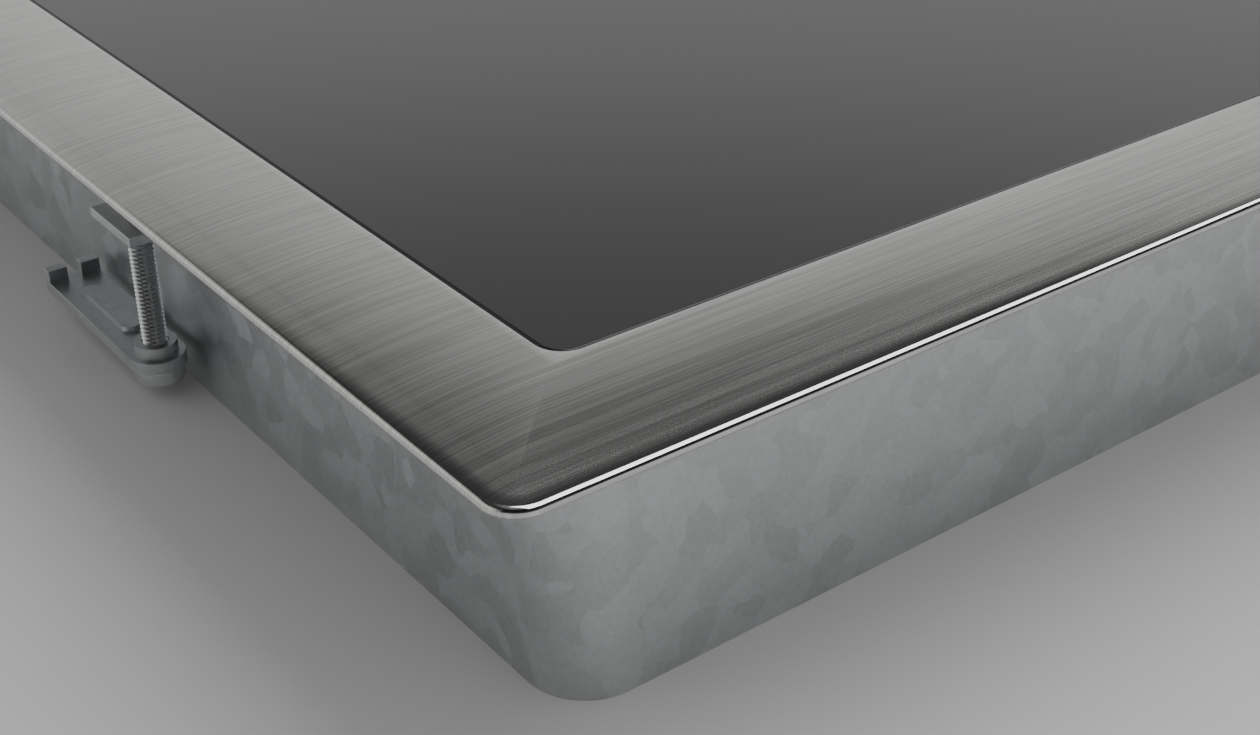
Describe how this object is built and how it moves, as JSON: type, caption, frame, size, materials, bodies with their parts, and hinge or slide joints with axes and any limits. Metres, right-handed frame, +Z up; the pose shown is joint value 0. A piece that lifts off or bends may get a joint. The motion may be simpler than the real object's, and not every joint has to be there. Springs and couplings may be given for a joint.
{
  "type": "induction cooktop",
  "caption": "Built-in induction cooktop: flush dark glass in a raised brushed steel rim over a shallow pan with coils, boards and blowers, swing-out worktop clamps and a rear terminal hatch.",
  "frame": {"origin": "centre of the cooktop in plan, on the underside of the base pan", "axes": "+X to the right along the front edge, +Y from the front to the back, +Z up out of the glass"},
  "size_m": [0.583, 0.513, 0.0541],
  "materials": {
    "brushed_stainless": "fine brushed along the front edge, polished rolled edge",
    "ceramic_glass": "polished black glass ceramic",
    "black_silicone": "matt",
    "grey_foam": "closed-cell foam",
    "galvanised_sheet": "hot-dip zinc, satin",
    "zinc_screws": "bright zinc",
    "aluminium_sheet": "mill finish",
    "aluminium_extrusion": "extruded",
    "coil_plastic": "glass-filled, matt",
    "litz_copper": "twisted enamelled strands",
    "ferrite": "pressed, matt",
    "mica": "pearly sheet",
    "spring_steel": "drawn wire",
    "probe_ceramic": "glazed",
    "board_laminate": "solder mask",
    "nylon_white": "moulded",
    "package_black": "moulded",
    "capacitor_case": "moulded",
    "choke_enamel": "enamelled wire on a coated ring",
    "blower_plastic": "moulded, fine grain",
    "ribbon_grey": "flat cable",
    "terminal_plastic": "moulded, fine grain",
    "terminal_ceramic": "moulded",
    "wire_insulation": "extruded"
  },
  "bodies": {
    "hob": {"rim_frame": "brushed_stainless", "glass_panel": "ceramic_glass", "glass_adhesive": "black_silicone", "worktop_seal": "grey_foam", "pan_floor": "galvanised_sheet", "pan_walls": "galvanised_sheet", "clamp_lugs": "galvanised_sheet", "tray_pillars": "galvanised_sheet", "case_screws": "zinc_screws", "coil_tray": "aluminium_sheet", "heatsink_left": "aluminium_extrusion", "heatsink_right": "aluminium_extrusion", "coil_leads": "litz_copper", "coil_springs": "spring_steel", "touch_springs": "spring_steel", "zone_sensors": "probe_ceramic", "control_board": "board_laminate", "power_board_left": "board_laminate", "power_board_right": "board_laminate", "board_standoffs": "nylon_white", "control_tray": "nylon_white", "power_transistors": "package_black", "relays": "package_black", "display_modules": "package_black", "film_capacitors": "capacitor_case", "filter_chokes": "choke_enamel", "fan_housing_left": "blower_plastic", "fan_housing_right": "blower_plastic", "control_ribbon": "ribbon_grey", "terminal_box": "terminal_plastic", "cable_gland": "terminal_plastic", "terminal_block": "terminal_ceramic", "mains_wires": "wire_insulation"},
    "clamp_screw_front_left": {"clamp_screw_front_left": "zinc_screws"},
    "clamp_arm_front_left": {"clamp_bracket_front_left": "galvanised_sheet"},
    "clamp_screw_front_right": {"clamp_screw_front_right": "zinc_screws"},
    "clamp_arm_front_right": {"clamp_bracket_front_right": "galvanised_sheet"},
    "clamp_screw_rear_left": {"clamp_screw_rear_left": "zinc_screws"},
    "clamp_arm_rear_left": {"clamp_bracket_rear_left": "galvanised_sheet"},
    "clamp_screw_rear_right": {"clamp_screw_rear_right": "zinc_screws"},
    "clamp_arm_rear_right": {"clamp_bracket_rear_right": "galvanised_sheet"},
    "rotor_left": {"fan_rotor_left": "blower_plastic"},
    "rotor_right": {"fan_rotor_right": "blower_plastic"},
    "terminal_hatch": {"terminal_cover": "terminal_plastic"},
    "coil_front_left": {"coil_carrier_front_left": "coil_plastic", "coil_winding_front_left": "litz_copper", "coil_ferrites_front_left": "ferrite", "mica_disc_front_left": "mica"},
    "coil_rear_left": {"coil_carrier_rear_left": "coil_plastic", "coil_winding_rear_left": "litz_copper", "coil_ferrites_rear_left": "ferrite", "mica_disc_rear_left": "mica"},
    "coil_front_right": {"coil_carrier_front_right": "coil_plastic", "coil_winding_front_right": "litz_copper", "coil_ferrites_front_right": "ferrite", "mica_disc_front_right": "mica"},
    "coil_rear_right": {"coil_carrier_rear_right": "coil_plastic", "coil_winding_rear_right": "litz_copper", "coil_ferrites_rear_right": "ferrite", "mica_disc_rear_right": "mica"}
  },
  "joints": [
    {"name": "clamp_lift_front_left", "type": "slide", "parent": "hob", "child": "clamp_screw_front_left", "axis": [0, 0, 1], "range_m": [0, 0.014]},
    {"name": "clamp_swing_front_left", "type": "hinge", "parent": "clamp_screw_front_left", "child": "clamp_arm_front_left", "pos_m": [-0.2738, -0.13, 0.0066], "axis": [0, 0, 1], "range_deg": [0, 90]},
    {"name": "clamp_lift_front_right", "type": "slide", "parent": "hob", "child": "clamp_screw_front_right", "axis": [0, 0, 1], "range_m": [0, 0.014]},
    {"name": "clamp_swing_front_right", "type": "hinge", "parent": "clamp_screw_front_right", "child": "clamp_arm_front_right", "pos_m": [0.2738, -0.13, 0.0066], "axis": [0, 0, -1], "range_deg": [0, 90]},
    {"name": "clamp_lift_rear_left", "type": "slide", "parent": "hob", "child": "clamp_screw_rear_left", "axis": [0, 0, 1], "range_m": [0, 0.014]},
    {"name": "clamp_swing_rear_left", "type": "hinge", "parent": "clamp_screw_rear_left", "child": "clamp_arm_rear_left", "pos_m": [-0.2738, 0.13, 0.0066], "axis": [0, 0, -1], "range_deg": [0, 90]},
    {"name": "clamp_lift_rear_right", "type": "slide", "parent": "hob", "child": "clamp_screw_rear_right", "axis": [0, 0, 1], "range_m": [0, 0.014]},
    {"name": "clamp_swing_rear_right", "type": "hinge", "parent": "clamp_screw_rear_right", "child": "clamp_arm_rear_right", "pos_m": [0.2738, 0.13, 0.0066], "axis": [0, 0, 1], "range_deg": [0, 90]},
    {"name": "fan_spin_left", "type": "hinge", "parent": "hob", "child": "rotor_left", "pos_m": [-0.19, 0.134, 0.0143], "axis": [0, 0, 1], "continuous": true},
    {"name": "fan_spin_right", "type": "hinge", "parent": "hob", "child": "rotor_right", "pos_m": [0.19, 0.134, 0.0143], "axis": [0, 0, 1], "continuous": true},
    {"name": "terminal_hatch_hinge", "type": "hinge", "parent": "hob", "child": "terminal_hatch", "pos_m": [0.238, 0.2364, 0.0165], "axis": [0, 0, -1], "range_deg": [0, 110]},
    {"name": "coil_float_front_left", "type": "slide", "parent": "hob", "child": "coil_front_left", "axis": [0, 0, 1], "range_m": [-0.0015, 0], "stiffness_N_per_m": 6000, "springref_m": 0.004, "deforming": ["coil_springs", "coil_leads"]},
    {"name": "coil_float_rear_left", "type": "slide", "parent": "hob", "child": "coil_rear_left", "axis": [0, 0, 1], "range_m": [-0.0015, 0], "stiffness_N_per_m": 6000, "springref_m": 0.004, "deforming": ["coil_springs", "coil_leads"]},
    {"name": "coil_float_front_right", "type": "slide", "parent": "hob", "child": "coil_front_right", "axis": [0, 0, 1], "range_m": [-0.0015, 0], "stiffness_N_per_m": 6000, "springref_m": 0.004, "deforming": ["coil_springs", "coil_leads"]},
    {"name": "coil_float_rear_right", "type": "slide", "parent": "hob", "child": "coil_rear_right", "axis": [0, 0, 1], "range_m": [-0.0015, 0], "stiffness_N_per_m": 6000, "springref_m": 0.004, "deforming": ["coil_springs", "coil_leads"]}
  ]
}
